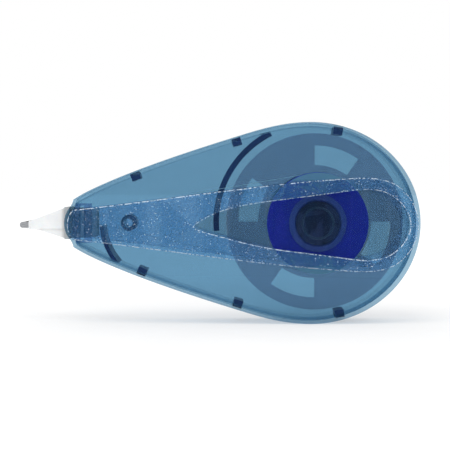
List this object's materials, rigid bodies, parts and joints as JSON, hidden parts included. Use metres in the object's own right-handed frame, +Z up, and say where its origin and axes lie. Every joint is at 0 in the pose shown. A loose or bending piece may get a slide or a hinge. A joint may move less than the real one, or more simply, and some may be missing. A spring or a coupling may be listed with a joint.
{
  "type": "correction tape dispenser",
  "caption": "Flat teardrop correction tape dispenser with a clear blue case, side grips round a window, coaxial tape reels and a white nose that runs the tape over a small roller.",
  "frame": {"origin": "bottom centre of the dispenser's bounding box, as it stands on its long edge with the tip level", "axes": "+X from the tip to the round end, +Y from the front face to the back face, +Z up"},
  "size_m": [0.0966, 0.0174, 0.0484],
  "materials": {
    "clear_case": "clear blue tinted polystyrene, polished",
    "window_clear": "clear teal tinted pane, slightly frosted",
    "window_frame": "teal tinted moulding, satin",
    "glitter_grip": "translucent blue with fine silver glitter, satin",
    "navy_plastic": "dark navy moulding, semi-gloss",
    "deep_blue_plastic": "deep blue moulding, semi-gloss",
    "smoke_blue_plastic": "see-through grey blue moulding",
    "socket_plastic": "see-through dark blue moulding",
    "white_plastic": "white moulding, satin",
    "tape_white": "matt white correction coating on thin film",
    "film_clear": "thin clear backing film",
    "felt": "pressed felt",
    "steel": "polished steel",
    "divider_plastic": "thin clear disc"
  },
  "bodies": {
    "case": {"front_shell": "clear_case", "back_shell": "clear_case", "front_window_frame": "window_frame", "back_window_frame": "window_frame", "front_window": "window_clear", "back_window": "window_clear", "front_grip": "glitter_grip", "back_grip": "glitter_grip", "snap_pegs": "navy_plastic", "reel_guard": "navy_plastic", "guide_wall": "navy_plastic", "reel_axle": "navy_plastic", "axle_cap": "navy_plastic", "tip_body": "white_plastic", "tip_fork": "steel", "tip_pin": "steel", "tip_socket": "socket_plastic", "outgoing_tape": "tape_white", "return_film": "film_clear"},
    "supply": {"supply_reel": "deep_blue_plastic", "supply_divider": "divider_plastic", "tape_roll": "tape_white", "clutch_spring": "steel", "spring_retainer": "navy_plastic"},
    "take_up": {"take_up_reel": "smoke_blue_plastic", "film_roll": "film_clear", "clutch_ring": "felt"},
    "guide": {"guide_roller": "navy_plastic"},
    "tip_wheel": {"tip_roller": "steel"}
  },
  "joints": [
    {"name": "supply_spin", "type": "hinge", "parent": "case", "child": "supply", "pos_m": [0.02379, 0, 0.0242], "axis": [0, -1, 0], "continuous": true},
    {"name": "take_up_spin", "type": "hinge", "parent": "case", "child": "take_up", "pos_m": [0.02379, 0, 0.0242], "axis": [0, -1, 0], "continuous": true},
    {"name": "guide_spin", "type": "hinge", "parent": "case", "child": "guide", "pos_m": [-0.02182, 0, 0.0242], "axis": [0, -1, 0], "continuous": true},
    {"name": "tip_roller_spin", "type": "hinge", "parent": "case", "child": "tip_wheel", "pos_m": [-0.04757, 0, 0.0237], "axis": [0, -1, 0], "continuous": true}
  ],
  "couplings": [
    {"joint": "take_up_spin", "follows": "supply_spin", "ratio": 0.9597},
    {"joint": "guide_spin", "follows": "supply_spin", "ratio": 6.1026},
    {"joint": "tip_roller_spin", "follows": "supply_spin", "ratio": 23.8}
  ]
}
